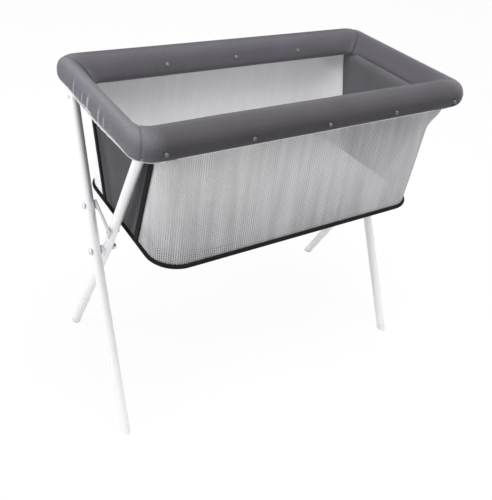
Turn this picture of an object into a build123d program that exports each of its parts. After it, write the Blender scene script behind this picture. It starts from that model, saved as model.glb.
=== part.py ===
from build123d import *
import math
import os

# Steel tube of the two scissor frames
TUBE = 22.0                # outside diameter of the tube
WALL = 1.2                 # wall of the tube
LEG_GAP = 5.0              # gap between two legs that cross
LEG_X_OUTER = 412.0        # middle plane of the leg on the outside of a crossing
PIVOT_Z = 378.0            # height of the crossing above the floor
RAIL_Y = 168.0             # distance of each top rail from the middle
RAIL_Z = 750.0             # height of the middle of each top rail
FOOT_Y = 196.0             # distance of each foot from the middle, at the floor
RAIL_BEND = 40.0           # bend radius where a rail turns down into a leg
LEG_BEND = 500.0           # slight bend of a leg at the crossing
RAIL_DROP = 78.0           # length of the turned-down end of a rail, from the corner
SPIGOT = 30.0              # length of leg that goes up into the rail
SPIGOT_ROOT = 20.0         # length of the reduced sleeve inside the leg
FOOT_HEAD = 14.0           # plastic foot below the end of the tube, along the leg
FOOT_PLUG = 20.0           # part of the foot inside the tube

# Fits
FIT = 0.05                 # radial clearance of a pin or a plug in its hole
SLACK = 0.3                # clearance under heads and between soft pieces
CUT_PAST = 10.0            # how far a cutting body reaches past what it cuts

# Fasteners
PIVOT_R = 4.0              # shank radius of the crossing bolts
PIVOT_HEAD_R = 8.0
PIVOT_HEAD_H = 4.0
NUT_R = 7.0
NUT_H = 9.0
WASHER_R = 9.0
RIVET_R = 2.5              # rivets that hold a leg in its rail
RIVET_HEAD_R = 4.5
RIVET_HEAD_H = 1.6
HEAD_ROUND = 0.7           # share of a head's height that is rounded

# Hooked strap at each crossing
STRAP_T = 2.5              # thickness
STRAP_PIN_AT = 105.0       # strap pin above the crossing, along the leg
STRAP_PIN_R = 3.0
STRAP_PIN_HEAD_R = 7.0
STRAP_FLANGE = 1.1         # inner head of the strap pin
STUD_AT = 72.0             # stud above the crossing, along the other leg
STUD_R = 4.0
STUD_CLEAR = 0.4           # clearance of the stud in the hook
STRAP_W = 12.0             # width of the strap
STRAP_EYE_R = 9.0
NOSE_W = 10.0              # width of the hook's nose
NOSE_DROP = 6.0            # how far the nose reaches past the stud's middle

# Padded rim, placed by the rails that it wraps
RIM_PAST_LEG = 22.0        # rim outside, past the middle plane of the outer legs
RIM_PAST_RAIL = 60.0       # rim outside, past the middle of a rail
RIM_OVER_RAIL = 18.0       # rim top above the middle of a rail
RIM_HEIGHT = 60.0
RIM_R = 50.0               # corner radius in plan, outside
BAND_W = 44.0              # width of an end band at its foot
BAND_LEAN = 14.0           # how far the inner face of a band leans out at the top
ROLL_COVER = 4.0           # padding between a tube and the inner face of a long roll
MOUTH_R = 25.0             # corner radius of the mouth
LIP_T = 6.0                # sewn lip of an end band, above the end panel
LIP_OVER = 4.0             # lip past the middle of the panel's top edge
RIM_ROUND = 18.0           # round of the outer top edge
MOUTH_ROUND = 10.0         # round of the inner top edge
RIM_UNDER = 14.0           # round of the lower edges
RAIL_CHANNEL = 0.4         # clearance of the rim round the rails

# Press studs in the rim
SNAP_R = 5.0
SNAP_T = 2.4
SNAP_PROUD = 0.2
SNAP_COUNT = 5
SNAP_END = 8.0             # last stud before the corner's round
SNAP_OUT_UP = 27.0         # outer row above the rim's lower edge
SNAP_IN_UP = 34.0          # inner row above the rim's lower edge

# Fabric tub, hung between the legs and under the rim
BASE_Z = 442.0             # underside of the tub
TUB_LEG_GAP = 4.0          # gap between the tub's end under the rim and the inner legs
TUB_RIM_STEP = 25.0        # long wall of the tub inside the rim's outside
TUB_TAPER = 13.0           # how far each end leans in at the bottom
TUB_FLARE = 2.0            # how far each long side leans out at the bottom
BASE_R = 65.0              # corner radius in plan at the bottom
TOP_R = 48.0               # corner radius in plan under the rim
CLOTH = 3.0                # thickness of the walls
PIPE_R = 5.0               # piping round the bottom edge
PANEL_LOW_IN = 123.0       # edge of an end panel from the tub's long side, at the bottom
PANEL_HIGH_IN = 36.0       # the same under the rim
BINDING_W = 18.0           # width of the binding on a panel's slanted edge
BINDING_T = 1.5
FLOOR_T = 4.0
MATTRESS_EDGE = 17.0       # mattress inside the tub's bottom edge
MATTRESS_R = 58.0
MATTRESS_T = 26.0

# Net cover
NET_T = 1.0
NET_CLEAR = 0.6            # net above the rim
NET_LOW_UP = 6.0           # lower edge of the net's skirt above the rim's lower edge
HEM_R = 1.5

# Sizes that follow
R_OUT = TUBE / 2
R_BORE = R_OUT - WALL
LEG_X_INNER = LEG_X_OUTER - TUBE - LEG_GAP
UP = Vector(0, RAIL_Y, RAIL_Z - PIVOT_Z).normalized()
DOWN = Vector(0, -FOOT_Y, -PIVOT_Z).normalized()
LEG_LOW = math.hypot(FOOT_Y, PIVOT_Z)
LEG_HIGH = math.hypot(RAIL_Y, RAIL_Z - PIVOT_Z)
RIM_X = LEG_X_OUTER + RIM_PAST_LEG
RIM_Y = RAIL_Y + RIM_PAST_RAIL
RIM_TOP = RAIL_Z + RIM_OVER_RAIL
RIM_BOTTOM = RIM_TOP - RIM_HEIGHT
LEG_SLOPE = RAIL_Y / (RAIL_Z - PIVOT_Z)
ROLL_LEAN = RIM_HEIGHT * LEG_SLOPE
MOUTH_X = RIM_X - BAND_W
MOUTH_Y = RAIL_Y - (RAIL_Z - RIM_BOTTOM) * LEG_SLOPE - (R_OUT + ROLL_COVER) / UP.Z
SNAP_PITCH = 2 * (RIM_X - RIM_R - SNAP_END) / (SNAP_COUNT - 1)
TOP_X = LEG_X_INNER - R_OUT - TUB_LEG_GAP
TOP_Y = RIM_Y - TUB_RIM_STEP
BASE_X = TOP_X - TUB_TAPER
BASE_Y = TOP_Y + TUB_FLARE
PANEL_LOW = BASE_Y - PANEL_LOW_IN
PANEL_HIGH = TOP_Y - PANEL_HIGH_IN
WALL_LOW = BASE_Z + 2 * PIPE_R + SLACK
WALL_HIGH = RIM_BOTTOM - SLACK
NET_LOW = RIM_BOTTOM + NET_LOW_UP


def spin(shape):
    """The same piece half a turn round the vertical axis."""
    return shape.rotate(Axis.Z, 180)


def along(x, direction, distance):
    """A point on the leg at x, measured from the crossing."""
    return Vector(x, 0, PIVOT_Z) + direction * distance


def rod(start, direction, length, radius):
    return extrude(Plane(origin=start, z_dir=direction) * Circle(radius), amount=length)


def pin(x0, x1, at, radius):
    """A round pin along X from x0 to x1, through the point at."""
    return rod(Vector(x0, at.Y, at.Z), (1, 0, 0), x1 - x0, radius)


def pipe(path, radius, bore=0.0):
    section = Circle(radius)
    if bore:
        section = section - Circle(bore)
    return sweep(Plane(origin=path @ 0, z_dir=path % 0) * section, path=path)


def dome(x, at, radius, height, side):
    """A low head with a rounded rim that stands on the plane x and points to side."""
    head = rod(Vector(x, at.Y, at.Z), (side, 0, 0), height, radius)
    crown = head.edges().sort_by(Axis.X)[0 if side < 0 else -1]
    return fillet(crown, height * HEAD_ROUND)


def plate(z0, z1, half_x, half_y, radius):
    return extrude(Plane.XY.offset(z0) * RectangleRounded(2 * half_x, 2 * half_y, radius), amount=z1 - z0)


def ring_path(z, half_x, half_y, radius):
    return (Plane.XY.offset(z) * RectangleRounded(2 * half_x, 2 * half_y, radius)).wire()


def rail_path():
    """Middle line of the back rail with its two turned-down ends."""
    corner = Vector(0, RAIL_Y, RAIL_Z)
    low = corner - UP * RAIL_DROP
    left = Vector(-LEG_X_OUTER, 0, 0)
    right = Vector(LEG_X_INNER, 0, 0)
    return FilletPolyline(low + left, corner + left, corner + right, low + right, radius=RAIL_BEND)


def joint_at(x):
    """Lower end of the rail's turned-down end, where the leg plugs in."""
    return along(x, UP, LEG_HIGH - RAIL_DROP)


def rivet_at(x):
    return joint_at(x) + UP * (SPIGOT / 2)


def make_rail():
    rail = pipe(rail_path(), R_OUT, R_BORE)
    for x in (-LEG_X_OUTER, LEG_X_INNER):
        rail -= pin(x - TUBE, x + TUBE, rivet_at(x), RIVET_R + FIT)
    return rail


def make_leg(x, pin_distance, pin_radius):
    """A leg of the back frame at x, with its bolt hole and one hole for a pin or a stud."""
    end = along(x, DOWN, LEG_LOW - FOOT_HEAD)
    path = FilletPolyline(end, along(x, UP, 0), joint_at(x), radius=LEG_BEND)
    leg = pipe(path, R_OUT, R_BORE)
    sleeve = rod(joint_at(x) - UP * SPIGOT_ROOT, UP, SPIGOT_ROOT, R_BORE + WALL / 4)
    sleeve += rod(joint_at(x) - UP * WALL, UP, SPIGOT + WALL, R_BORE - FIT)
    sleeve -= rod(joint_at(x) - UP * SPIGOT_ROOT, UP, SPIGOT_ROOT + SPIGOT, R_BORE - FIT - WALL)
    leg += sleeve
    for at, radius in (
        (along(x, UP, 0), PIVOT_R),
        (along(x, UP, pin_distance), pin_radius),
        (rivet_at(x), RIVET_R),
    ):
        leg -= pin(x - TUBE, x + TUBE, at, radius + FIT)
    return leg


def make_foot(x):
    """Plastic foot cut flat on the floor, with a plug inside the tube."""
    end = along(x, DOWN, LEG_LOW - FOOT_HEAD)
    foot = rod(end, DOWN, 3 * FOOT_HEAD, R_OUT)
    foot += rod(end, -DOWN, FOOT_PLUG, R_BORE - 2 * FIT)
    above = 2 * (FOOT_HEAD + FOOT_PLUG + TUBE)
    return foot & (Pos(x, -FOOT_Y, above / 2) * Box(above, above, above))


def make_rivets():
    """Rivets between the rail and the legs of one frame."""
    rivets = []
    for x in (-LEG_X_OUTER, LEG_X_INNER):
        at = rivet_at(x)
        rivet = pin(x - R_OUT, x + R_OUT, at, RIVET_R)
        rivet += dome(x - R_OUT, at, RIVET_HEAD_R, RIVET_HEAD_H, -1)
        rivet += dome(x + R_OUT, at, RIVET_HEAD_R, RIVET_HEAD_H, 1)
        rivets.append(rivet)
    return Compound(children=rivets)


# Bolts, washers and nuts of the crossings
OUTER_FACE = -LEG_X_OUTER - R_OUT
GAP_OUTER = -LEG_X_OUTER + R_OUT
GAP_INNER = -LEG_X_INNER - R_OUT
INNER_FACE = -LEG_X_INNER + R_OUT
CROSSING = Vector(0, 0, PIVOT_Z)


def make_pivot_bolt():
    head_at = OUTER_FACE - SLACK
    bolt = pin(head_at, INNER_FACE + NUT_H / 2, CROSSING, PIVOT_R)
    return bolt + dome(head_at, CROSSING, PIVOT_HEAD_R, PIVOT_HEAD_H, -1)


def make_pivot_washer():
    washer = pin(GAP_OUTER + SLACK, GAP_INNER - SLACK, CROSSING, WASHER_R)
    return washer - pin(GAP_OUTER, GAP_INNER, CROSSING, PIVOT_R + FIT)


def make_pivot_nut():
    seat = INNER_FACE + SLACK
    nut = pin(seat, seat + NUT_H / 2, CROSSING, NUT_R)
    nut += dome(seat + NUT_H / 2, CROSSING, NUT_R, NUT_H / 2, 1)
    return nut - pin(INNER_FACE, INNER_FACE + NUT_H / 2 + FIT, CROSSING, PIVOT_R + FIT)


# Hooked strap, its pin and the stud that it hooks over
STRAP_PIN = along(0, UP, STRAP_PIN_AT)
STUD = Vector(0, 0, PIVOT_Z) + Vector(0, -UP.Y, UP.Z) * STUD_AT
REACH = (STUD - STRAP_PIN).length
STRAP_X0 = GAP_OUTER + SLACK
STRAP_X1 = STRAP_X0 + STRAP_T


def make_strap():
    """Flat strap drawn with its pin at the origin and the stud on the first axis."""
    under = STUD_R + STUD_CLEAR
    over = under + STRAP_W
    seat = REACH + STUD_R + STUD_CLEAR
    tip = seat + NOSE_W
    outline = make_face(
        Polyline(
            (0, under),
            (math.sqrt(seat**2 - under**2), under),
            (math.sqrt(seat**2 - under**2), over),
            (0, over),
            close=True,
        )
    )
    nose = Circle(tip) - Circle(seat)
    nose &= Pos(seat, (over - NOSE_DROP) / 2) * Rectangle(4 * NOSE_W, over + NOSE_DROP)
    neck = make_face(
        Polyline((0, -STRAP_EYE_R), (2 * STRAP_W, under), (2 * STRAP_W, over), (0, over), close=True)
    )
    shape = outline + nose + neck + Circle(STRAP_EYE_R) - Circle(STRAP_PIN_R + FIT)
    to_stud = (STUD - STRAP_PIN).normalized()
    flat = Plane(origin=(STRAP_X1, STRAP_PIN.Y, STRAP_PIN.Z), x_dir=to_stud, z_dir=(-1, 0, 0))
    return extrude(flat * shape, amount=STRAP_T)


def make_strap_pin():
    head_at = OUTER_FACE - SLACK
    flange_at = STRAP_X1 + SLACK / 2
    rivet = pin(head_at, flange_at + STRAP_FLANGE, STRAP_PIN, STRAP_PIN_R)
    rivet += pin(flange_at, flange_at + STRAP_FLANGE, STRAP_PIN, STRAP_PIN_HEAD_R)
    return rivet + dome(head_at, STRAP_PIN, STRAP_PIN_HEAD_R, PIVOT_HEAD_H, -1)


def make_stud():
    """Stud through the inner leg, standing out into the gap."""
    head_at = INNER_FACE
    stud = pin(STRAP_X0, head_at, STUD, STUD_R)
    return stud + dome(head_at, STUD, STUD_R + 2, RIVET_HEAD_H, 1)


# Padded rim
def make_rim_ring():
    ring = plate(RIM_BOTTOM, RIM_TOP, RIM_X, RIM_Y, RIM_R)
    ring = fillet(ring.edges().group_by(Axis.Z)[-1], RIM_ROUND)
    ring = fillet(ring.edges().group_by(Axis.Z)[0], RIM_UNDER)
    ring -= make_mouth()
    upper = [e for e in ring.edges().group_by(Axis.Z)[-1] if in_mouth(e)]
    ring = fillet(upper, MOUTH_ROUND)
    lower = [e for e in ring.edges().group_by(Axis.Z)[0] if in_mouth(e)]
    return fillet(lower, RIM_UNDER)


def make_mouth():
    """Opening of the rim: its long sides lean out like the legs behind them."""
    sections = []
    for z in (RIM_BOTTOM - CUT_PAST, RIM_TOP + CUT_PAST):
        t = (z - RIM_BOTTOM) / RIM_HEIGHT
        half_x = MOUTH_X + BAND_LEAN * t
        half_y = MOUTH_Y + ROLL_LEAN * t
        sections.append(Plane.XY.offset(z) * RectangleRounded(2 * half_x, 2 * half_y, MOUTH_R))
    return loft(sections, ruled=True)


def in_mouth(edge):
    middle = edge.center()
    return abs(middle.X) < MOUTH_X + BAND_LEAN + 1 and abs(middle.Y) < MOUTH_Y + ROLL_LEAN + 1


def rim_wedge(grow):
    """Plan of the front roll: mitred from the mouth's corners to the outer corners."""
    run = Vector(RIM_X - MOUTH_X, RIM_Y - MOUTH_Y)
    inner = Vector(MOUTH_X + grow, MOUTH_Y) - run * 0.6
    outer = Vector(MOUTH_X + grow, MOUTH_Y) + run * 1.6
    plan = Polyline(
        (-inner.X, -inner.Y), (inner.X, -inner.Y), (outer.X, -outer.Y), (-outer.X, -outer.Y), close=True
    )
    return extrude(Plane.XY.offset(RIM_BOTTOM - CUT_PAST) * make_face(plan), amount=RIM_HEIGHT + 2 * CUT_PAST)


def make_snaps(proud, deep, radius):
    """Press studs of the front roll, square to its outer face and to the leaning face in the mouth."""
    outer = Vector(0, -RIM_Y, RIM_BOTTOM + SNAP_OUT_UP)
    inner = Vector(0, -MOUTH_Y - SNAP_IN_UP * LEG_SLOPE, RIM_BOTTOM + SNAP_IN_UP)
    rows = ((outer, Vector(0, -1, 0)), (inner, Vector(0, UP.Z, UP.Y)))
    first = -SNAP_PITCH * (SNAP_COUNT - 1) / 2
    snaps = []
    for middle, outward in rows:
        for i in range(SNAP_COUNT):
            at = middle + Vector(first + i * SNAP_PITCH, 0, 0) + outward * proud
            snaps.append(rod(at, -outward, proud + deep, radius))
    return snaps


def make_lip():
    """Lip at the foot of the left band that reaches in over the top edge of the end panel."""
    inner_edge = TOP_X - CLOTH / 2 - LIP_OVER
    seam = MOUTH_X + 2 * RIM_UNDER
    lip = plate(RIM_BOTTOM, RIM_BOTTOM + LIP_T, seam, MOUTH_Y - SLACK, MOUTH_R)
    end = Pos(-inner_edge - seam / 2, 0, RIM_BOTTOM) * Box(seam, 2 * MOUTH_Y, 3 * LIP_T)
    return lip & end


def make_rim():
    """Front roll and left band, with channels for the rails and pockets for the studs."""
    ring = make_rim_ring()
    channel = pipe(rail_path(), R_OUT + RAIL_CHANNEL)
    ring = ring - channel - spin(channel)
    front = ring & rim_wedge(-SLACK / 2)
    left = ring - rim_wedge(SLACK / 2) - spin(rim_wedge(SLACK / 2))
    left = left.solids().sort_by(Axis.X)[0] + make_lip()
    for pocket in make_snaps(CUT_PAST, SNAP_T - SNAP_PROUD + SLACK, SNAP_R + SLACK):
        front -= pocket
    return front, left


# Fabric tub
def tub(z0, z1, grow):
    """Closed body of the tub's outline between two heights, grown sideways."""
    sections = []
    for z in (z0, z1):
        t = (z - BASE_Z) / (RIM_BOTTOM - BASE_Z)
        half_x = BASE_X + (TOP_X - BASE_X) * t + grow
        half_y = BASE_Y + (TOP_Y - BASE_Y) * t + grow
        radius = BASE_R + (TOP_R - BASE_R) * t + grow
        sections.append(Plane.XY.offset(z) * RectangleRounded(2 * half_x, 2 * half_y, radius))
    return loft(sections, ruled=True)


def skin(inner, outer):
    """Thin wall of the tub between two offsets from its outline."""
    return tub(WALL_LOW, WALL_HIGH, outer) - tub(WALL_LOW - CUT_PAST, WALL_HIGH + CUT_PAST, inner)


def panel_wedge(grow):
    """Left end of the tub between the slanted edges of the end panel."""
    slope = (PANEL_HIGH - PANEL_LOW) / (RIM_BOTTOM - BASE_Z)
    low = PANEL_LOW - slope * CUT_PAST + grow
    high = PANEL_HIGH + slope * CUT_PAST + grow
    z0 = BASE_Z - CUT_PAST
    z1 = RIM_BOTTOM + CUT_PAST
    face = Polyline((-low, z0), (low, z0), (high, z1), (-high, z1), close=True)
    return extrude(Plane.YZ.offset(-RIM_X) * make_face(face), amount=RIM_X / 2)


def make_walls():
    """Left end panel, its two bindings and the front mesh side with both corners."""
    wall = skin(-CLOTH, 0)
    panel = wall & panel_wedge(-SLACK / 2)
    mesh = wall - panel_wedge(SLACK / 2) - spin(panel_wedge(SLACK / 2))
    mesh = mesh.solids().sort_by(Axis.Y)[0]
    edge = panel_wedge(BINDING_W / 2) - panel_wedge(-BINDING_W / 2)
    binding = skin(SLACK, SLACK + BINDING_T) & edge
    return panel, Compound(children=list(binding.solids())), mesh


def make_piping():
    path = ring_path(BASE_Z + PIPE_R, BASE_X, BASE_Y, BASE_R)
    return pipe(path, PIPE_R)


def make_floor():
    edge = PIPE_R + SLACK
    low = BASE_Z + PIPE_R - FLOOR_T / 2
    return plate(low, low + FLOOR_T, BASE_X - edge, BASE_Y - edge, BASE_R - edge)


def make_mattress():
    low = BASE_Z + PIPE_R + FLOOR_T / 2 + SLACK
    half_x = BASE_X - MATTRESS_EDGE
    half_y = BASE_Y - MATTRESS_EDGE
    pad = plate(low, low + MATTRESS_T, half_x, half_y, MATTRESS_R)
    pad = fillet(pad.edges().group_by(Axis.Z)[-1], MATTRESS_T / 3)
    return fillet(pad.edges().group_by(Axis.Z)[0], MATTRESS_T / 5)


# Net cover with its elastic hem
def net_body(grow, low):
    body = plate(low, RIM_TOP + grow, RIM_X + grow, RIM_Y + grow, RIM_R + grow)
    return fillet(body.edges().group_by(Axis.Z)[-1], RIM_ROUND + grow)


def make_net():
    return net_body(NET_CLEAR + NET_T, NET_LOW) - net_body(NET_CLEAR, NET_LOW - CUT_PAST)


def make_hem():
    reach = NET_CLEAR + NET_T / 2
    path = ring_path(NET_LOW - HEM_R - SLACK, RIM_X + reach, RIM_Y + reach, RIM_R + reach)
    return pipe(path, HEM_R)


def pair(shape):
    """One piece at each end, as a group."""
    return Compound(children=[shape, spin(shape)])


rail = make_rail()
leg_outer = make_leg(-LEG_X_OUTER, STRAP_PIN_AT, STRAP_PIN_R)
leg_inner = make_leg(LEG_X_INNER, STUD_AT, STUD_R)
foot_outer = make_foot(-LEG_X_OUTER)
foot_inner = make_foot(LEG_X_INNER)
rivets = make_rivets()
strap = make_strap()
strap_pin = make_strap_pin()
stud = make_stud()
rim_front, rim_left = make_rim()
snaps = Compound(children=make_snaps(SNAP_PROUD, SNAP_T - SNAP_PROUD, SNAP_R))
panel, binding, mesh = make_walls()

NODES = {
    "back_rail": rail,
    "back_frame_leg_left": leg_outer,
    "back_frame_leg_right": leg_inner,
    "back_frame_foot_left": foot_outer,
    "back_frame_foot_right": foot_inner,
    "back_frame_rivets": rivets,
    "front_rail": spin(rail),
    "front_frame_leg_right": spin(leg_outer),
    "front_frame_leg_left": spin(leg_inner),
    "front_frame_foot_right": spin(foot_outer),
    "front_frame_foot_left": spin(foot_inner),
    "front_frame_rivets": spin(rivets),
    "pivot_bolts": pair(make_pivot_bolt()),
    "pivot_washers": pair(make_pivot_washer()),
    "pivot_nuts": pair(make_pivot_nut()),
    "strap_left": strap,
    "strap_right": spin(strap),
    "strap_pin_left": strap_pin,
    "strap_pin_right": spin(strap_pin),
    "strap_stud_left": stud,
    "strap_stud_right": spin(stud),
    "rim_front": rim_front,
    "rim_back": spin(rim_front),
    "rim_left": rim_left,
    "rim_right": spin(rim_left),
    "rim_snaps_front": snaps,
    "rim_snaps_back": spin(snaps),
    "mesh_front": mesh,
    "mesh_back": spin(mesh),
    "end_panel_left": panel,
    "end_panel_right": spin(panel),
    "binding_left": binding,
    "binding_right": spin(binding),
    "base_piping": make_piping(),
    "floor_panel": make_floor(),
    "mattress": make_mattress(),
    "net_cover": make_net(),
    "net_hem": make_hem(),
}

os.makedirs("parts", exist_ok=True)
for name, shape in NODES.items():
    export_step(shape, f"parts/{name}.step")
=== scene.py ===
import math

import bmesh
import bpy
from mathutils import Matrix, Vector, noise


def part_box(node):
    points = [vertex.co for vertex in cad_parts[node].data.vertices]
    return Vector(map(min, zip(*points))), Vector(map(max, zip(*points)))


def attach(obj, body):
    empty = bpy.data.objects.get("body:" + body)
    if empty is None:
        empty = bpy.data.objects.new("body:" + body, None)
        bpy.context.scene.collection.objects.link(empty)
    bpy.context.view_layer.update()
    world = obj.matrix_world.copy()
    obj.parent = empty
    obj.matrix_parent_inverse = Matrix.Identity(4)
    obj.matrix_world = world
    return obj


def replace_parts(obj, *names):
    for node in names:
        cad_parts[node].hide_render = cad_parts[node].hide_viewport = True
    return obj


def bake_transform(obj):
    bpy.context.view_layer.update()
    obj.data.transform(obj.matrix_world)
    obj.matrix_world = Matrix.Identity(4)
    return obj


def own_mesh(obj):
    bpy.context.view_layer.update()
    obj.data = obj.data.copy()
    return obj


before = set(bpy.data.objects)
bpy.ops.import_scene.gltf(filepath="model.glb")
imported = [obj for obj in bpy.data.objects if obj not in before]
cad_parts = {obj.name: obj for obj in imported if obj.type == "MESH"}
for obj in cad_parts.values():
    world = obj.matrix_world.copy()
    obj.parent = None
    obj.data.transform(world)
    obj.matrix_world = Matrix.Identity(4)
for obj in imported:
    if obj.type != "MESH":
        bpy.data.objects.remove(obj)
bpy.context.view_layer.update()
scene = bpy.context.scene

# Camera, fitted to the photograph
PHOTO_W = 492
PHOTO_H = 500
CAMERA_AT = Vector((-0.8835, -1.1590, 1.3226))
CAMERA_AZIMUTH = math.radians(-36.03)
CAMERA_ELEVATION = math.radians(28.53)
CAMERA_ROLL = math.radians(7.83)
FOCAL_PX = 679.8           # focal length in pixels of the photograph
AXIS_PX_X = 244.4          # pixel that the camera's axis goes through
AXIS_PX_Y = 158.0
SENSOR = 36.0

# Light and backdrop
LAMP_AIM = Vector((0, 0, 0.55))
WORLD_LIGHT = 0.36         # strength of the world where it lights the part
BACKDROP = 1.0             # strength of the world where it is seen
FLOOR_HALF = 6.0
FLOOR_GLOW = 0.95          # share of the seen floor that is plain white

# Top rails, and legs that lean out above their crossing
RAIL_Y = 0.168
RAIL_RISE = 0.372          # rail above the crossing
LEG_SLOPE = RAIL_Y / RAIL_RISE
LEG_LEAN = math.atan(LEG_SLOPE)

# Rim, read from the frame and from the sizes of its solids
RIM_X = -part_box("rim_left")[0].x
RIM_Y = -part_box("rim_front")[0].y
RIM_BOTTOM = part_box("rim_front")[0].z
RIM_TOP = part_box("rim_front")[1].z
RIM_MIDDLE = (RIM_BOTTOM + RIM_TOP) / 2
RIM_HALF = (RIM_TOP - RIM_BOTTOM) / 2
RIM_R = 0.050
FOOT_X = -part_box("rim_left")[1].x      # inner edge of a band at its foot
FOOT_Y = -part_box("rim_front")[1].y     # inner edge of a roll at its foot
MOUTH_X = RIM_X - 0.030                # inner edge of a band at the top
MOUTH_Y = FOOT_Y + 2 * RIM_HALF * LEG_SLOPE
MOUTH_R = 0.025
SQUARE_OUT = 2.4           # how square the section is at the top outside; 2 is an ellipse
SQUARE_IN = 4.0            # at the top inside, where the rail fills it
SQUARE_LOW = 2.7           # below
SECTION_STEPS = 40
PUFF = 0.0012              # how far the stuffing swells the cover
PUFF_PRESSURE = 4.0
PUFF_STEPS = 20            # frames of the cloth simulation
SEAM_PINCH = 0.0005        # how far a corner seam draws the cover in
SEAM_RUN = 8               # stations over which the cover swells from a seam

# Press studs of the rim
SNAP_R = 0.0045
SNAP_RISE = 0.0016
SNAP_COUNT = 5
SNAP_X = RIM_X - RIM_R - 0.008         # last stud of a row
SNAP_OUT_Z = RIM_BOTTOM + 0.027
SNAP_IN_Z = RIM_BOTTOM + 0.034
SNAP_SIDES = 20
# Outline of a stud's cap, from the cloth to the dimple: shares of its radius and its rise
SNAP_CAP = ((1.0, -0.5), (1.0, 0.25), (0.92, 0.75), (0.8, 1.0), (0.62, 0.82), (0.45, 0.95), (0.2, 1.0))

# Tub
PIPE_R = 0.005
PIPE_SIDES = 12
BASE_X = -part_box("base_piping")[0].x - PIPE_R
BASE_Y = -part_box("base_piping")[0].y - PIPE_R
BASE_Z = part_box("base_piping")[0].z
BASE_R = 0.065
TOP_X = -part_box("end_panel_left")[0].x
TOP_Y = RIM_Y - 0.025
TOP_R = 0.048
WALL_LOW = BASE_Z + 1.6 * PIPE_R
WALL_HIGH = RIM_BOTTOM + 0.012         # the walls are sewn in between the rim's two skins
TUCK = 0.65                # how far the ends lean out there, for each length up
FLARE = 0.020              # how far the corners spread out under the rim
FLARE_FROM = RIM_BOTTOM - 0.055
CLOTH = 0.003

# Mesh of the long sides
MESH_COLUMNS = 200
MESH_HEIGHTS = 30
MESH_FOLD = 0.0030         # depth of the soft folds
FOLD_WIDE = 22             # wide folds to a metre, about
FOLD_NARROW = 47
BACK_NOISE = 5.0           # sets the folds of the back apart from those of the front
HOLE_COLUMN = 0.0050       # pitch of the columns of holes
HOLE_ROW = 0.0044          # pitch of the holes in a column

# End panels and the binding on their slanted edges
PANEL_LOW = BASE_Y - 0.123             # half width of a panel at the bottom
PANEL_HIGH = TOP_Y - 0.036
PANEL_COLUMNS = 44
PANEL_HEIGHTS = 34
PANEL_T = 0.0016
PANEL_SLACK = 0.0022
PANEL_SHORT = 0.0005       # how far a panel stops short of the mesh under the binding
BINDING_W = 0.018
BINDING_COLUMNS = 8
BINDING_HEIGHTS = 40
BINDING_T = 0.0012
BINDING_LIFT = 0.0004      # edges of the binding off the wall
BINDING_CROWN = 0.0012     # rise of its middle

# Floor panel and mattress: insets of the outline, from the middle out or back
FLOOR_INSETS = (0.19, 0.12, 0.05, 0.012, 0.003)
FLOOR_EDGE = (0.35, 0.65)  # shares of the thickness between which the edge is upright
MATTRESS_R = 0.058
MATTRESS_SWELL = 0.003
MATTRESS_BELOW = (0.18, 0.13, 0.08, 0.04, 0.016)
MATTRESS_EDGE_LOW = ((0.006, 0.002), (0.003, 0.007))     # inset, and height above the underside
MATTRESS_EDGE_HIGH = ((0.003, 0.007), (0.007, 0.002))    # inset, and depth below the top
MATTRESS_ABOVE = (0.016, 0.03, 0.05, 0.08, 0.11, 0.14, 0.18)
MATTRESS_HELD = 0.001      # height of the underside that is held as the rest swells

# Net
NET_OVER = 0.0010          # middle of the net above the rim
NET_SAG = 0.006
NET_DRAWN_AND_LIT = 0.22           # how dense the net is drawn at the two ends, set high so that its white is also painted light on the bands
NET_VEIL = 0.04            # how dense it looks over the mouth
MOUTH_SHARES = (0.0, 0.08, 0.2, 0.35, 0.5, 0.65, 0.8, 0.92)
RIM_SHARES = (0.0, 0.1, 0.2, 0.3, 0.4, 0.5, 0.6, 0.7, 0.8, 0.88, 0.94, 1.0)
HEM_ON_BAND = math.radians(-40)        # place of the hem round the rim's section at the ends
HEM_ON_ROLL = math.radians(-68)        # under the long rolls
HEM_R = 0.0024
HEM_SIDES = 8

# Creases where the net is gathered at the two ends
NET_CREASE = 0.0014        # height of a full crease
CREASE_PITCH = 0.028
CREASE_WANDER = 0.35       # how far a crease strays, in pitches
CREASE_SHARP = 7           # narrower with a higher power
CREASE_FULL = 0.6
CREASE_START = 0.4         # where a crease begins, as a share of the way from the crest to the hem
CREASE_VARIES = 0.3
CREASE_GROWS = 0.25        # share of the way over which it grows
CREASE_REACH = 0.14        # half width of the creased stretch
CREASE_FADE = 0.06

# Points in a straight stretch or an arc of the outlines
LONG_STEPS = 88
SHORT_STEPS = 150
CORNER_STEPS = 6
CLOSED = 0.0004            # half width of an outline that is closed to a line


# Mesh helpers
def piece(name, points, faces, material):
    """A smooth mesh in one material."""
    mesh = bpy.data.meshes.new(name)
    mesh.from_pydata([tuple(p) for p in points], [], faces)
    mesh.validate()
    mesh.polygons.foreach_set("use_smooth", [True] * len(mesh.polygons))
    mesh.materials.append(material)
    obj = bpy.data.objects.new(name, mesh)
    scene.collection.objects.link(obj)
    return obj


def grid_faces(rows, columns, wrap_rows=False, wrap_columns=False):
    """Faces between rows of points that are counted one row after the other."""
    faces = []
    for j in range(rows if wrap_rows else rows - 1):
        for i in range(columns if wrap_columns else columns - 1):
            k = (j + 1) % rows
            n = (i + 1) % columns
            faces.append((j * columns + i, j * columns + n, k * columns + n, k * columns + i))
    return faces


def flatten(rows):
    return [p for row in rows for p in row]


def give_uv(obj, places):
    """places holds one pair of lengths in metres for each vertex."""
    layer = obj.data.uv_layers.new(name="cloth")
    for loop in obj.data.loops:
        layer.data[loop.index].uv = places[loop.vertex_index]


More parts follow.
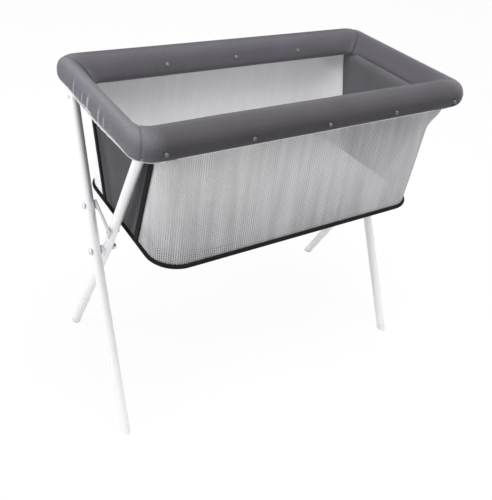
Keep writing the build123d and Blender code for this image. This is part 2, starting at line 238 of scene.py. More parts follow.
def weld(obj, distance):
    """Joins vertices that lie on each other, such as the two sides of a closed middle line."""
    shape = bmesh.new()
    shape.from_mesh(obj.data)
    bmesh.ops.remove_doubles(shape, verts=shape.verts, dist=distance)
    shape.to_mesh(obj.data)
    shape.free()


def modify(obj, kind, **settings):
    modifier = obj.modifiers.new(kind.lower(), kind)
    for key, value in settings.items():
        setattr(modifier, key, value)


def puff(obj, pinned, cap):
    """Swells a closed cover by cloth simulation, with the pinned vertices held, and keeps the shape."""
    rest = [v.co.copy() for v in obj.data.vertices]
    held = obj.vertex_groups.new(name="held")
    held.add(pinned, 1.0, "REPLACE")
    cloth = obj.modifiers.new("puff", "CLOTH")
    cloth.settings.use_pressure = True
    cloth.settings.uniform_pressure_force = PUFF_PRESSURE
    cloth.settings.vertex_group_mass = "held"
    cloth.settings.effector_weights.gravity = 0
    cloth.point_cache.frame_start = 1
    cloth.point_cache.frame_end = PUFF_STEPS
    for step in range(1, PUFF_STEPS + 1):
        scene.frame_set(step)
    shaped = obj.evaluated_get(bpy.context.evaluated_depsgraph_get()).data
    moved = [v.co.copy() for v in shaped.vertices]
    obj.modifiers.remove(cloth)
    obj.vertex_groups.remove(held)
    for vertex, start, end in zip(obj.data.vertices, rest, moved):
        way = end - start
        if way.length > cap:
            way *= cap / way.length
        vertex.co = start + way
    scene.frame_set(1)


def lerp(a, b, t):
    return a + (b - a) * t


def ease(t):
    """0 to 1 with level ends."""
    t = min(1.0, max(0.0, t))
    return t * t * (3 - 2 * t)


def outline_sides(half_x, half_y, radius):
    """Rounded rectangle as four runs, front, right, back and left, that meet in mid-corner."""
    signs = ((-1, -1), (1, -1), (1, 1), (-1, 1))
    centres = [Vector((sx * (half_x - radius), sy * (half_y - radius))) for sx, sy in signs]
    sides = []
    for k in range(4):
        first = math.radians(225 + 90 * k)
        middle = first + math.pi / 4
        last = first + math.pi / 2
        nearer = centres[k]
        further = centres[(k + 1) % 4]
        run = []
        for i in range(CORNER_STEPS + 1):
            angle = lerp(first, middle, i / CORNER_STEPS)
            run.append(nearer + radius * Vector((math.cos(angle), math.sin(angle))))
        turn = radius * Vector((math.cos(middle), math.sin(middle)))
        steps = LONG_STEPS if k % 2 == 0 else SHORT_STEPS
        for i in range(1, steps):
            run.append(lerp(nearer + turn, further + turn, i / steps))
        for i in range(CORNER_STEPS + 1):
            angle = lerp(middle, last, i / CORNER_STEPS)
            run.append(further + radius * Vector((math.cos(angle), math.sin(angle))))
        sides.append(run)
    return sides


def outline_loop(half_x, half_y, radius):
    return [p for side in outline_sides(half_x, half_y, radius) for p in side[:-1]]


def half_turn(points):
    return [Vector((-p.x, -p.y, p.z)) for p in points]


def ripple(*at):
    """Smooth noise from -1 to 1; the last number picks one of many patterns."""
    return noise.noise(Vector(at))


# Material helpers
def new_material(name):
    material = bpy.data.materials.new(name)
    material.use_nodes = True
    tree = material.node_tree
    return material, tree, tree.nodes["Principled BSDF"]


def math_node(tree, operation, first, second=None):
    """first and second are numbers or outputs of other nodes."""
    node = tree.nodes.new("ShaderNodeMath")
    node.operation = operation
    for socket, value in zip(node.inputs, (first, second)):
        if value is None:
            continue
        if isinstance(value, (int, float)):
            socket.default_value = value
        else:
            tree.links.new(value, socket)
    return node.outputs[0]


def place_node(tree, kind="Object"):
    return tree.nodes.new("ShaderNodeTexCoord").outputs[kind]


def noise_node(tree, place, scale, detail=2.0, stretch=None):
    node = tree.nodes.new("ShaderNodeTexNoise")
    node.inputs["Scale"].default_value = scale
    node.inputs["Detail"].default_value = detail
    if stretch:
        mapping = tree.nodes.new("ShaderNodeMapping")
        mapping.inputs["Scale"].default_value = stretch
        tree.links.new(place, mapping.inputs["Vector"])
        place = mapping.outputs["Vector"]
    tree.links.new(place, node.inputs["Vector"])
    return node.outputs["Fac"]


def wave_node(tree, place, scale, direction):
    node = tree.nodes.new("ShaderNodeTexWave")
    node.bands_direction = direction
    node.inputs["Scale"].default_value = scale
    node.inputs["Distortion"].default_value = 0.6
    tree.links.new(place, node.inputs["Vector"])
    return node.outputs["Fac"]


def grey(level):
    return (level, level, level)


def ramp_node(tree, value, stops):
    """Colours or greys along a value: stops are pairs of place and colour."""
    node = tree.nodes.new("ShaderNodeValToRGB")
    ramp = node.color_ramp
    for index, (where, colour) in enumerate(stops):
        if index < 2:
            stop = ramp.elements[index]
            stop.position = where
        else:
            stop = ramp.elements.new(where)
        stop.color = (*colour, 1.0)
    tree.links.new(value, node.inputs["Fac"])
    return node.outputs["Color"]


def set_ramp(tree, socket, value, stops):
    """Lets a socket of the shader follow a ramp along a value."""
    tree.links.new(ramp_node(tree, value, stops), socket)


def set_roughness(tree, bsdf, value, low, high):
    """Roughness that goes from low to high with a noise."""
    set_ramp(tree, bsdf.inputs["Roughness"], value, ((0.2, grey(low)), (0.8, grey(high))))


def set_bump(tree, bsdf, height, strength, distance):
    node = tree.nodes.new("ShaderNodeBump")
    node.inputs["Strength"].default_value = strength
    node.inputs["Distance"].default_value = distance
    tree.links.new(height, node.inputs["Height"])
    tree.links.new(node.outputs["Normal"], bsdf.inputs["Normal"])


# Materials
def moulded(name, colour, dark, rough, grain):
    """Moulded plastic: slight tone changes and a fine uneven skin."""
    material, tree, bsdf = new_material(name)
    place = place_node(tree)
    tone = noise_node(tree, place, scale=9.0, detail=4.0)
    skin = noise_node(tree, place, scale=grain, detail=3.0)
    set_ramp(tree, bsdf.inputs["Base Color"], tone, ((0.3, dark), (0.65, colour)))
    set_roughness(tree, bsdf, skin, rough - 0.08, rough + 0.1)
    set_bump(tree, bsdf, skin, strength=0.25, distance=0.0002)
    return material


def plated(name, dark, light, rough):
    """Plated steel with fine turning marks."""
    material, tree, bsdf = new_material(name)
    place = place_node(tree)
    tone = noise_node(tree, place, scale=160.0, detail=4.0)
    marks = wave_node(tree, place, scale=900.0, direction="Y")
    bsdf.inputs["Metallic"].default_value = 1.0
    set_ramp(tree, bsdf.inputs["Base Color"], tone, ((0.3, dark), (0.7, light)))
    set_roughness(tree, bsdf, tone, rough - 0.1, rough + 0.1)
    set_bump(tree, bsdf, marks, strength=0.15, distance=0.0001)
    return material


def woven(name, dark, mid, light, thread, rough, sheen):
    """Woven fabric of mixed yarns: heather specks, crossed threads and soft blotches."""
    material, tree, bsdf = new_material(name)
    place = place_node(tree)
    specks = noise_node(tree, place, scale=620.0, detail=3.0)
    blotch = noise_node(tree, place, scale=14.0, detail=3.0)
    speck_share = math_node(tree, "MULTIPLY", specks, 0.72)
    blotch_share = math_node(tree, "MULTIPLY", blotch, 0.28)
    mixed = math_node(tree, "ADD", speck_share, blotch_share)
    set_ramp(tree, bsdf.inputs["Base Color"], mixed, ((0.34, dark), (0.5, mid), (0.66, light)))
    set_roughness(tree, bsdf, specks, rough - 0.1, rough + 0.05)
    bsdf.inputs["Specular IOR Level"].default_value = 0.15
    bsdf.inputs["Sheen Weight"].default_value = sheen
    bsdf.inputs["Sheen Roughness"].default_value = 0.5
    warp, weft, cross = (wave_node(tree, place, thread, direction) for direction in "XZY")
    threads = math_node(tree, "ADD", math_node(tree, "ADD", warp, weft), cross)
    set_bump(tree, bsdf, threads, strength=0.2, distance=0.0003)
    return material


def from_hole(tree, along, up):
    """Square of the distance from the nearest hole of the mesh, in pitches; columns are staggered."""
    column = math_node(tree, "DIVIDE", along, HOLE_COLUMN)
    odd = math_node(tree, "FLOORED_MODULO", math_node(tree, "FLOOR", column), 2.0)
    stagger = math_node(tree, "MULTIPLY", odd, 0.5)
    row = math_node(tree, "ADD", math_node(tree, "DIVIDE", up, HOLE_ROW), stagger)
    squares = []
    for count in (column, row):
        off = math_node(tree, "SUBTRACT", math_node(tree, "FRACT", count), 0.5)
        squares.append(math_node(tree, "POWER", off, 2.0))
    return math_node(tree, "ADD", *squares)


def mesh_holes_and_shade(tree, place, open_low, open_high):
    """1 in an open hole and 0 between holes, which sets both how clear a hole is and its painted shade;
    some patches, and one end, are more open than others.
    """
    split = tree.nodes.new("ShaderNodeSeparateXYZ")
    tree.links.new(place, split.inputs[0])
    along = split.outputs["X"]
    wide = noise_node(tree, place, scale=22.0, stretch=(1.0, 0.25, 1.0))
    uneven = math_node(tree, "MULTIPLY", math_node(tree, "SUBTRACT", wide, 0.5), 0.10)
    size = math_node(tree, "ADD", from_hole(tree, along, split.outputs["Y"]), uneven)
    hole_and_shade = ramp_node(tree, size, ((0.06, grey(1.0)), (0.12, grey(0.0))))
    patch = noise_node(tree, place, scale=3.2, stretch=(1.0, 0.5, 1.0))
    patch = math_node(tree, "SUBTRACT", patch, math_node(tree, "MULTIPLY", along, 0.35))
    open_share = ramp_node(tree, patch, ((0.35, grey(open_low)), (0.6, grey(open_high))))
    return math_node(tree, "MULTIPLY", hole_and_shade, open_share)


def perforated(name, open_low, open_high, dark, light, relief):
    """Mesh of a long side: holes and upright streaks, placed by lengths along the cloth; the holes carry
    painted shade for the shadowed inside seen through them.
    """
    material, tree, bsdf = new_material(name)
    place = place_node(tree, "UV")
    hole_and_shade = mesh_holes_and_shade(tree, place, open_low, open_high)
    streak = noise_node(tree, place, scale=46.0, detail=3.0, stretch=(1.0, 0.07, 1.0))
    tint_and_hole_shade = tree.nodes.new("ShaderNodeMix")
    tint_and_hole_shade.data_type = "RGBA"
    set_ramp(tree, tint_and_hole_shade.inputs["A"], streak, ((0.3, dark), (0.7, light)))
    # painted shade: holes take this dark grey for the shadowed inside of the tub seen through them
    tint_and_hole_shade.inputs["B"].default_value = (0.15, 0.15, 0.17, 1.0)
    tree.links.new(hole_and_shade, tint_and_hole_shade.inputs["Factor"])
    tree.links.new(tint_and_hole_shade.outputs["Result"], bsdf.inputs["Base Color"])
    set_ramp(tree, bsdf.inputs["Alpha"], hole_and_shade, ((0.0, grey(0.94)), (1.0, grey(0.5))))
    bsdf.inputs["Roughness"].default_value = 0.75
    set_bump(tree, bsdf, streak, strength=relief, distance=0.0012)
    return material


def sheer(name, dark, light):
    """Fine net, clear where it lies flat and thicker to the eye where it is gathered; at the two ends it
    is also made whiter as painted light on the bands.
    """
    material, tree, bsdf = new_material(name)
    fine = noise_node(tree, place_node(tree), scale=900.0)
    gather_and_light = tree.nodes.new("ShaderNodeAttribute")
    gather_and_light.attribute_name = "gather_and_light"
    thread = math_node(tree, "ADD", math_node(tree, "MULTIPLY", fine, 0.1), 0.5)
    veil = math_node(tree, "MULTIPLY", gather_and_light.outputs["Fac"], thread)
    tree.links.new(veil, bsdf.inputs["Alpha"])
    set_ramp(tree, bsdf.inputs["Base Color"], fine, ((0.2, dark), (0.8, light)))
    bsdf.inputs["Roughness"].default_value = 0.6
    return material


strap_plastic = moulded("strap_plastic", (0.60, 0.60, 0.61), (0.54, 0.54, 0.55), rough=0.55, grain=420.0)
stud_steel = plated("stud_steel", (0.12, 0.12, 0.13), (0.20, 0.20, 0.21), rough=0.5)
grey_padding = woven(
    "grey_padding", dark=(0.047, 0.043, 0.050), mid=(0.057, 0.053, 0.061), light=(0.067, 0.063, 0.072),
    thread=420.0, rough=0.88, sheen=0.08,
)
grey_cloth = woven(
    "grey_cloth", dark=(0.043, 0.041, 0.046), mid=(0.065, 0.063, 0.069), light=(0.092, 0.088, 0.097),
    thread=360.0, rough=0.85, sheen=0.1,
)
black_tape = woven(
    "black_tape", dark=(0.004, 0.004, 0.004), mid=(0.007, 0.007, 0.008), light=(0.014, 0.014, 0.015),
    thread=520.0, rough=0.85, sheen=0.0,
)
mattress_cover = woven(
    "mattress_cover", dark=(0.58, 0.58, 0.59), mid=(0.66, 0.66, 0.66), light=(0.74, 0.74, 0.73),
    thread=300.0, rough=0.85, sheen=0.2,
)
white_elastic = woven(
    "white_elastic", dark=(0.62, 0.62, 0.64), mid=(0.74, 0.74, 0.75), light=(0.84, 0.84, 0.84),
    thread=600.0, rough=0.8, sheen=0.2,
)
pale_mesh = perforated(
    "pale_mesh", open_low=0.2, open_high=1.0,
    dark=(0.425, 0.415, 0.430), light=(0.590, 0.578, 0.595), relief=0.5,
)
# painted light: the back mesh, seen from inside the tub, is given a far paler colour and fewer dark
# holes for the light that comes through it
backlit_mesh = perforated(
    "backlit_mesh", open_low=0.06, open_high=0.25,
    dark=(0.86, 0.85, 0.88), light=(0.90, 0.89, 0.92), relief=0.1,
)
white_net = sheer("white_net", dark=(0.74, 0.73, 0.84), light=(0.84, 0.83, 0.93))


# Padded rim
def rim_stations(side):
    """Foot, inner top edge and outer edge of the rim along one side, from seam to seam."""
    foot = outline_sides(FOOT_X, FOOT_Y, MOUTH_R)[side]
    mouth = outline_sides(MOUTH_X, MOUTH_Y, MOUTH_R)[side]
    outer = outline_sides(RIM_X, RIM_Y, RIM_R)[side]
    return list(zip(foot, mouth, outer))


def rim_point(station, angle, grow):
    """Point round the rim's section: angle 0 is outside, a quarter turn is on top."""
    foot, mouth, outer = station
    across = math.cos(angle)
    up = math.sin(angle)
    power = 2 / (SQUARE_LOW if up < 0 else SQUARE_OUT if across > 0 else SQUARE_IN)
    across = math.copysign(abs(across) ** power, across)
    up = math.copysign(abs(up) ** power, up)
    inner = lerp(foot, mouth, (up + 1) / 2)
    reach = (outer - inner) / 2
    plan = inner + reach + (reach + reach.normalized() * grow) * across
    return Vector((plan.x, plan.y, RIM_MIDDLE + (RIM_HALF + grow) * up))


def rim_piece(name, side, node):
    """One stuffed cover between two corner seams."""
    stations = rim_stations(side)
    count = len(stations)
    columns = SECTION_STEPS
    turns = [-2 * math.pi * i / columns for i in range(columns)]
    rows = []
    for k, station in enumerate(stations):
        from_seam = min(k, count - 1 - k)
        inset = lerp(SEAM_PINCH, PUFF, ease(from_seam / SEAM_RUN))
        rows.append([rim_point(station, angle, -inset) for angle in turns])
    faces = grid_faces(count, columns, wrap_columns=True)
    points = flatten(rows)
    for row, first in ((rows[0], 0), (rows[-1], (count - 1) * columns)):
        hub = len(points)
        points.append(sum(row, Vector()) / columns)
        for i in range(columns):
            pair = (first + i, first + (i + 1) % columns)
            faces.append((hub, *(pair[::-1] if first == 0 else pair)))
    obj = piece(name, points, faces, grey_padding)
    pinned = list(range(columns)) + list(range((count - 1) * columns, len(points)))
    puff(obj, pinned, PUFF)
    modify(obj, "SUBSURF", levels=1, render_levels=1)
    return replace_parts(obj, node)


def make_rim():
    front = rim_piece("front_roll", 0, "rim_front")
    right = rim_piece("right_band", 1, "rim_right")
    back = rim_piece("back_roll", 2, "rim_back")
    left = rim_piece("left_band", 3, "rim_left")
    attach(front, "front_frame")
    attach(back, "back_frame")
    for band in (right, left):
        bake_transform(band)


# Press studs
def stud(centre, out):
    """A pressed cap with a rolled rim and a dimple, turned round the direction out."""
    side = Vector((1, 0, 0))
    up = out.cross(side)
    points = []
    for radius, rise in SNAP_CAP:
        for i in range(SNAP_SIDES):
            angle = 2 * math.pi * i / SNAP_SIDES
            spoke = side * math.cos(angle) + up * math.sin(angle)
            points.append(centre + spoke * (radius * SNAP_R) + out * (rise * SNAP_RISE))
    faces = grid_faces(len(SNAP_CAP), SNAP_SIDES, wrap_columns=True)
    hub = len(points)
    last = hub - SNAP_SIDES
    points.append(centre + out * SNAP_RISE)
    for i in range(SNAP_SIDES):
        faces.append((last + i, last + (i + 1) % SNAP_SIDES, hub))
    return points, faces


def stud_rows(name, side, node, body):
    """Studs on the outer face of a long roll and on its leaning face in the mouth."""
    inner_y = FOOT_Y + (SNAP_IN_Z - RIM_BOTTOM) * LEG_SLOPE
    outward = Vector((0, side, 0))
    inward = Vector((0, -side * math.cos(LEG_LEAN), math.sin(LEG_LEAN)))
    points = []
    faces = []
    for i in range(SNAP_COUNT):
        x = SNAP_X * (2 * i / (SNAP_COUNT - 1) - 1)
        for y, z, out in ((RIM_Y, SNAP_OUT_Z, outward), (inner_y, SNAP_IN_Z, inward)):
            new_points, new_faces = stud(Vector((x, side * y, z)), out)
            faces.extend(tuple(n + len(points) for n in face) for face in new_faces)
            points.extend(new_points)
    obj = piece(name, points, faces, stud_steel)
    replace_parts(obj, node)
    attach(obj, body)


# Tub walls, measured along the cloth from the middle of a long side
def tub_sizes(z):
    """Half length, half width and corner radius of the tub at a height."""
    t = (z - BASE_Z) / (RIM_BOTTOM - BASE_Z)
    tuck = TUCK * max(0.0, z - RIM_BOTTOM)
    return lerp(BASE_X, TOP_X, t) + tuck, lerp(BASE_Y, TOP_Y, t), lerp(BASE_R, TOP_R, t)


def panel_edge(z):
    """How far along the cloth the slanted edge of an end panel lies at a height."""
    half_x, half_y, radius = tub_sizes(z)
    t = (z - BASE_Z) / (RIM_BOTTOM - BASE_Z)
    half = lerp(PANEL_LOW, PANEL_HIGH, t)
    flat = half_y - radius
    if half > flat:
        return half_x - radius + radius * math.acos((half - flat) / radius)
    return half_x - radius + radius * math.pi / 2 + flat - half


def end_middle(z):
    """How far along the cloth the middle of an end lies."""
    half_x, half_y, radius = tub_sizes(z)
    return half_x - radius + radius * math.pi / 2 + half_y - radius


def tub_point(z, along, out):
    """Point of the front half of the tub at a distance along the cloth, moved out by a little."""
    half_x, half_y, radius = tub_sizes(z)
    side = math.copysign(1.0, along)
    rest = abs(along) - (half_x - radius)
    if rest <= 0:
        return Vector((along, -half_y - out, z))
    turn = rest / radius
    if turn <= math.pi / 2:
        flare = FLARE * ease((z - FLARE_FROM) / (RIM_BOTTOM - FLARE_FROM))
        reach = radius + out + flare * math.sin(2 * turn) ** 2
        x = half_x - radius + reach * math.sin(turn)
        return Vector((side * x, -(half_y - radius) - reach * math.cos(turn), z))
    over = rest - radius * math.pi / 2
    return Vector((side * (half_x + out), -(half_y - radius) + over, z))


def mesh_fold(along, t):
    """Soft upright folds of the mesh that fade at the rim and at the piping."""
    fade = math.sin(math.pi * min(1.0, max(0.0, t))) ** 0.7
    folds = ripple(along * FOLD_WIDE, t * 0.9, 3.1) + 0.6 * ripple(along * FOLD_NARROW, t * 1.4, 8.7)
    return MESH_FOLD * fade * folds


def make_mesh_side(name, node, turned):
    """Mesh of a long side from binding to binding; the back one is turned half round and takes the paler
    material with painted light.
    """
    material = backlit_mesh if turned else pale_mesh
    noise_at = BACK_NOISE if turned else 0.0
    points = []
    places = []
    for j in range(MESH_HEIGHTS + 1):
        t = j / MESH_HEIGHTS
        z = lerp(WALL_LOW, WALL_HIGH, t)
        reach = panel_edge(z)
        for i in range(MESH_COLUMNS + 1):
            along = reach * (2 * i / MESH_COLUMNS - 1)
            points.append(tub_point(z, along, mesh_fold(along + noise_at, t) - CLOTH / 2))
            places.append((along, z))
    if turned:
        points = half_turn(points)
    faces = grid_faces(MESH_HEIGHTS + 1, MESH_COLUMNS + 1)
    obj = piece(name, points, faces, material)
    give_uv(obj, places)
    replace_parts(obj, node)
    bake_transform(obj)


def make_end_panel(name, node, turned):
    """Cloth panel of the left end, with a little slack; the right one is turned half round."""
    points = []
    for j in range(PANEL_HEIGHTS + 1):
        t = j / PANEL_HEIGHTS
        z = lerp(WALL_LOW, WALL_HIGH, t)
        edge = panel_edge(z) + PANEL_SHORT
        middle = end_middle(z)
        for i in range(PANEL_COLUMNS + 1):
            s = 2 * i / PANEL_COLUMNS - 1
            along = lerp(middle, edge, abs(s))
            fade = math.sin(math.pi * t) * (1 - s * s)
            slack = PANEL_SLACK * fade * (ripple(s * 1.7, t * 2.2, 4.4) - 0.4)
            p = tub_point(z, -along, slack - CLOTH / 2)
            points.append(Vector((p.x, p.y if s < 0 else -p.y, z)))
    if turned:
        points = half_turn(points)
    faces = grid_faces(PANEL_HEIGHTS + 1, PANEL_COLUMNS + 1)
    obj = piece(name, points, faces, grey_cloth)
    modify(obj, "SOLIDIFY", thickness=PANEL_T, offset=0.0)
    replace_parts(obj, node)
    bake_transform(obj)


def make_binding(name, node, turned):
    """Folded tape over the two slanted edges of an end panel."""
    points = []
    faces = []
    for mirror in (1, -1):
        first = len(points)
        for j in range(BINDING_HEIGHTS + 1):
            z = lerp(WALL_LOW, WALL_HIGH, j / BINDING_HEIGHTS)
            edge = panel_edge(z)
            for i in range(BINDING_COLUMNS + 1):
                s = 2 * i / BINDING_COLUMNS - 1
                crown = BINDING_LIFT + BINDING_CROWN * (1 - s ** 4)
                p = tub_point(z, -(edge + s * BINDING_W / 2), crown)
                points.append(Vector((p.x, p.y * mirror, z)))
        for face in grid_faces(BINDING_HEIGHTS + 1, BINDING_COLUMNS + 1):
            face = face if mirror == 1 else face[::-1]
            faces.append(tuple(n + first for n in face))
    if turned:
        points = half_turn(points)
    obj = piece(name, points, faces, black_tape)
    modify(obj, "SOLIDIFY", thickness=BINDING_T, offset=0.0)
    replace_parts(obj, node)
    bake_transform(obj)


def ring_tube(name, path, radius, sides, material):
    """A soft round tube along a closed path that lies nearly level."""
    count = len(path)
    points = []
    for k in range(count):
        run = (path[(k + 1) % count] - path[k - 1]).normalized()
        out = Vector((run.y, -run.x, 0)).normalized()
        for i in range(sides):
            angle = 2 * math.pi * i / sides
            rise = Vector((0, 0, radius * math.sin(angle)))
            points.append(path[k] + out * (radius * math.cos(angle)) + rise)
    return piece(name, points, grid_faces(count, sides, True, True), material)


def make_piping():
    path = [Vector((p.x, p.y, BASE_Z + PIPE_R)) for p in outline_loop(BASE_X, BASE_Y, BASE_R)]
    obj = ring_tube("base_cord", path, PIPE_R, PIPE_SIDES, black_tape)
    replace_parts(obj, "base_piping")
    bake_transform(obj)


# Floor panel and mattress
def slab(name, half_x, half_y, radius, section, material):
    """A closed pad from one outline: section holds pairs of inset and height, from below to above."""
    middle = half_y - CLOSED
    section = [(middle, section[0][1]), *section, (middle, section[-1][1])]
    rows = []
    for inset, z in section:
        loop = outline_loop(half_x - inset, half_y - inset, max(radius - inset, CLOSED / 2))
        rows.append([Vector((p.x, p.y, z)) for p in loop])
    faces = grid_faces(len(rows), len(rows[0]), wrap_columns=True)
    obj = piece(name, flatten(rows), faces, material)
    weld(obj, 3 * CLOSED)
    return obj


def make_floor_panel():
    low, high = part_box("floor_panel")
    section = [(inset, low.z) for inset in FLOOR_INSETS]
    section += [(0.0, lerp(low.z, high.z, share)) for share in FLOOR_EDGE]
    section += [(inset, high.z) for inset in reversed(FLOOR_INSETS)]
    obj = slab("floor_board", high.x, high.y, BASE_R - PIPE_R, section, grey_cloth)
    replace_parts(obj, "floor_panel")
    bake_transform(obj)


def make_mattress():
    """A thin pad with rounded edges; the cloth simulation swells all but its underside."""
    low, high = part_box("mattress")
    bottom = low.z
    top = high.z - MATTRESS_SWELL
    section = [(inset, bottom) for inset in MATTRESS_BELOW]
    section += [(inset, bottom + rise) for inset, rise in MATTRESS_EDGE_LOW]
    section += [(inset, top - drop) for inset, drop in MATTRESS_EDGE_HIGH]
    section += [(inset, top) for inset in MATTRESS_ABOVE]
    obj = slab("mattress_pad", high.x, high.y, MATTRESS_R, section, mattress_cover)
    below = [v.index for v in obj.data.vertices if v.co.z < bottom + MATTRESS_HELD]
    puff(obj, below, MATTRESS_SWELL)
    modify(obj, "SUBSURF", levels=1, render_levels=1)
    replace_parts(obj, "mattress")
    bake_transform(obj)


# Net over the mouth and the rim
def hem_angle(station):
    """Where the hem lies round the rim's section: lower and further under on the long rolls."""
    foot, _, outer = station
    return lerp(HEM_ON_BAND, HEM_ON_ROLL, ease(abs((outer - foot).normalized().y)))


def net_crease(at, share):
    """Narrow creases that run up from the hem at the two ends, each with its own length."""
    count = at.y / CREASE_PITCH + CREASE_WANDER * ripple(at.y * 31, at.z * 12, 1.7)
    ridge = max(0.0, math.cos(2 * math.pi * count)) ** CREASE_SHARP
    start = CREASE_START + CREASE_VARIES * ripple(round(count) * 1.37, 6.1, 0.4)
    spread = ease((CREASE_REACH - abs(at.y)) / CREASE_FADE)
    return CREASE_FULL * spread * ridge * ease((share - start) / CREASE_GROWS)


def net_over_mouth(stations):
    """Rows from the middle line to the rim's crest, and how dense the net looks at each point."""
    crests = [rim_point(station, math.pi / 2, NET_OVER) for station in stations]
    ridge = RIM_X - RIM_Y
    rows = []
    for share in MOUTH_SHARES:
        row = []
        for crest in crests:
            middle = Vector((max(-ridge, min(ridge, crest.x)), 0, crest.z))
            row.append(lerp(middle, crest, share) - Vector((0, 0, NET_SAG * (1 - share ** 2))))
        rows.append(row)
    return rows, [[NET_VEIL] * len(row) for row in rows]


def net_over_rim(stations):
    """Rows from the rim's crest down to the hem, and how dense the net looks at each point, with painted
    light over the bands at the ends.
    """
    rows = []
    fulls = []
    for share in RIM_SHARES:
        row = []
        full = []
        for station in stations:
            angle = lerp(math.pi / 2, hem_angle(station), share)
            p = rim_point(station, angle, NET_OVER)
            at_end = ease((abs(p.x) - FOOT_X) / (RIM_X - FOOT_X))
            crease = at_end * net_crease(p, share)
            row.append(rim_point(station, angle, NET_OVER + NET_CREASE * crease))
            # painted light: the net over the two end bands is made denser, so its white stands in for
            # light on them
            full.append(NET_DRAWN_AND_LIT * at_end + crease)
        rows.append(row)
        fulls.append(full)
    return rows, fulls


def make_net():
    """Sheer net with its elastic hem."""
    stations = [station for side in range(4) for station in rim_stations(side)[:-1]]
    mouth_rows, mouth_fulls = net_over_mouth(stations)
    rim_rows, rim_fulls = net_over_rim(stations)
    rows = mouth_rows + rim_rows
    faces = grid_faces(len(rows), len(stations), wrap_columns=True)
    net = piece("net_sheet", flatten(rows), faces, white_net)
    gather_and_light = net.data.attributes.new("gather_and_light", "FLOAT", "POINT")
    gather_and_light.data.foreach_set("value", flatten(mouth_fulls + rim_fulls))
    weld(net, CLOSED)
    hem = ring_tube("net_elastic", rows[-1], HEM_R, HEM_SIDES, white_elastic)
    for part, node in ((net, "net_cover"), (hem, "net_hem")):
        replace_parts(part, node)
        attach(part, "net")
        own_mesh(part)


# Frame, straps and fasteners keep their solids, and all but these keep the finish that the frame brings
FINISHES = (
    ("strap_left", strap_plastic),
    ("strap_right", strap_plastic),
    ("pivot_nuts", bpy.data.materials["zinc_steel"]),
)


def finish_solids():
    for name, material in FINISHES:
        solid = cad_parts[name]
        solid.data.materials.clear()
        solid.data.materials.append(material)


# Stage, light and camera
def seen_rays(tree):
    """1 for rays that show the backdrop: from the camera, a reflection or a clear piece."""
    path = tree.nodes.new("ShaderNodeLightPath")
    shown = math_node(tree, "MAXIMUM", path.outputs["Is Camera Ray"], path.outputs["Is Glossy Ray"])
    return math_node(tree, "MAXIMUM", shown, path.outputs["Is Transmission Ray"])


def make_stage():
    """A floor that is seen as white and keeps the part's shadow."""
    signs = ((-1, -1), (1, -1), (1, 1), (-1, 1))
    corners = [(sx * FLOOR_HALF, sy * FLOOR_HALF, 0) for sx, sy in signs]
    mesh = bpy.data.meshes.new("floor")
    mesh.from_pydata(corners, [], [(0, 1, 2, 3)])
    material, tree, bsdf = new_material("floor")
    bsdf.inputs["Base Color"].default_value = (0.9, 0.9, 0.9, 1.0)
    bsdf.inputs["Roughness"].default_value = 0.9
    glow = tree.nodes.new("ShaderNodeEmission")
    mix = tree.nodes.new("ShaderNodeMixShader")
    tree.links.new(math_node(tree, "MULTIPLY", seen_rays(tree), FLOOR_GLOW), mix.inputs["Fac"])
    tree.links.new(bsdf.outputs["BSDF"], mix.inputs[1])
    tree.links.new(glow.outputs["Emission"], mix.inputs[2])
    tree.links.new(mix.outputs["Shader"], tree.nodes["Material Output"].inputs["Surface"])
    mesh.materials.append(material)
    floor = bpy.data.objects.new("floor", mesh)
    scene.collection.objects.link(floor)


def make_world():
    """Soft light from all round, with a white backdrop."""
    world = bpy.data.worlds.new("studio")
    scene.world = world
    world.use_nodes = True
    tree = world.node_tree
    background = tree.nodes["Background"]
    level = tree.nodes.new("ShaderNodeMapRange")
    level.inputs["To Min"].default_value = WORLD_LIGHT
    level.inputs["To Max"].default_value = BACKDROP
    tree.links.new(seen_rays(tree), level.inputs["Value"])
    background.inputs["Color"].default_value = (1.0, 1.0, 1.0, 1.0)
    tree.links.new(level.outputs["Result"], background.inputs["Strength"])


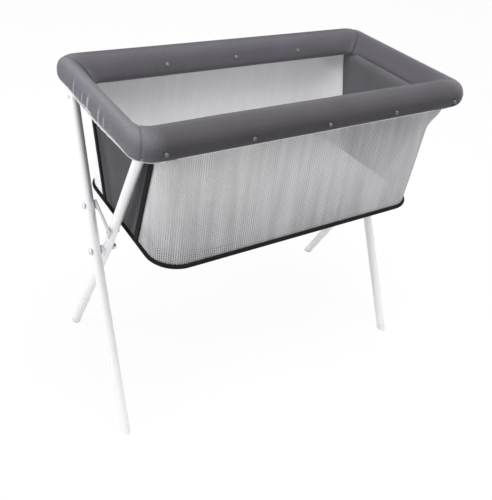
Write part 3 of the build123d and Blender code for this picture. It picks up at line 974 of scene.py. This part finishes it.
def make_lamp(name, place, size, power):
    data = bpy.data.lights.new(name, "AREA")
    data.energy = power
    data.size = size
    lamp = bpy.data.objects.new(name, data)
    lamp.location = place
    lamp.rotation_euler = (LAMP_AIM - Vector(place)).to_track_quat("-Z", "Y").to_euler()
    scene.collection.objects.link(lamp)


def make_camera():
    back = Vector((
        math.sin(CAMERA_AZIMUTH) * math.cos(CAMERA_ELEVATION),
        -math.cos(CAMERA_AZIMUTH) * math.cos(CAMERA_ELEVATION),
        math.sin(CAMERA_ELEVATION),
    ))
    level = Vector((0, 0, 1)).cross(back).normalized()
    upright = back.cross(level)
    right = level * math.cos(CAMERA_ROLL) + upright * math.sin(CAMERA_ROLL)
    up = upright * math.cos(CAMERA_ROLL) - level * math.sin(CAMERA_ROLL)
    data = bpy.data.cameras.new("camera")
    data.sensor_width = SENSOR
    data.lens = FOCAL_PX * SENSOR / PHOTO_H
    data.shift_x = (PHOTO_W / 2 - AXIS_PX_X) / PHOTO_H
    data.shift_y = (AXIS_PX_Y - PHOTO_H / 2) / PHOTO_H
    camera = bpy.data.objects.new("camera", data)
    turned = Matrix((right, up, back)).transposed().to_4x4()
    camera.matrix_world = Matrix.Translation(CAMERA_AT) @ turned
    scene.collection.objects.link(camera)
    scene.camera = camera


make_rim()
stud_rows("front_studs", -1, "rim_snaps_front", "front_frame")
stud_rows("back_studs", 1, "rim_snaps_back", "back_frame")
make_piping()
make_mesh_side("front_mesh", "mesh_front", turned=False)
make_mesh_side("back_mesh", "mesh_back", turned=True)
make_end_panel("left_end_panel", "end_panel_left", turned=False)
make_end_panel("right_end_panel", "end_panel_right", turned=True)
make_binding("left_binding", "binding_left", turned=False)
make_binding("right_binding", "binding_right", turned=True)
make_floor_panel()
make_mattress()
make_net()
finish_solids()
make_stage()
make_world()
make_lamp("key", place=(-2.6, 0.3, 2.2), size=1.6, power=52.0)
make_lamp("fill", place=(1.9, -1.9, 1.2), size=1.6, power=3.0)
make_lamp("top", place=(0.2, -0.4, 3.0), size=1.8, power=90.0)
make_camera()
scene.view_settings.view_transform = "Standard"
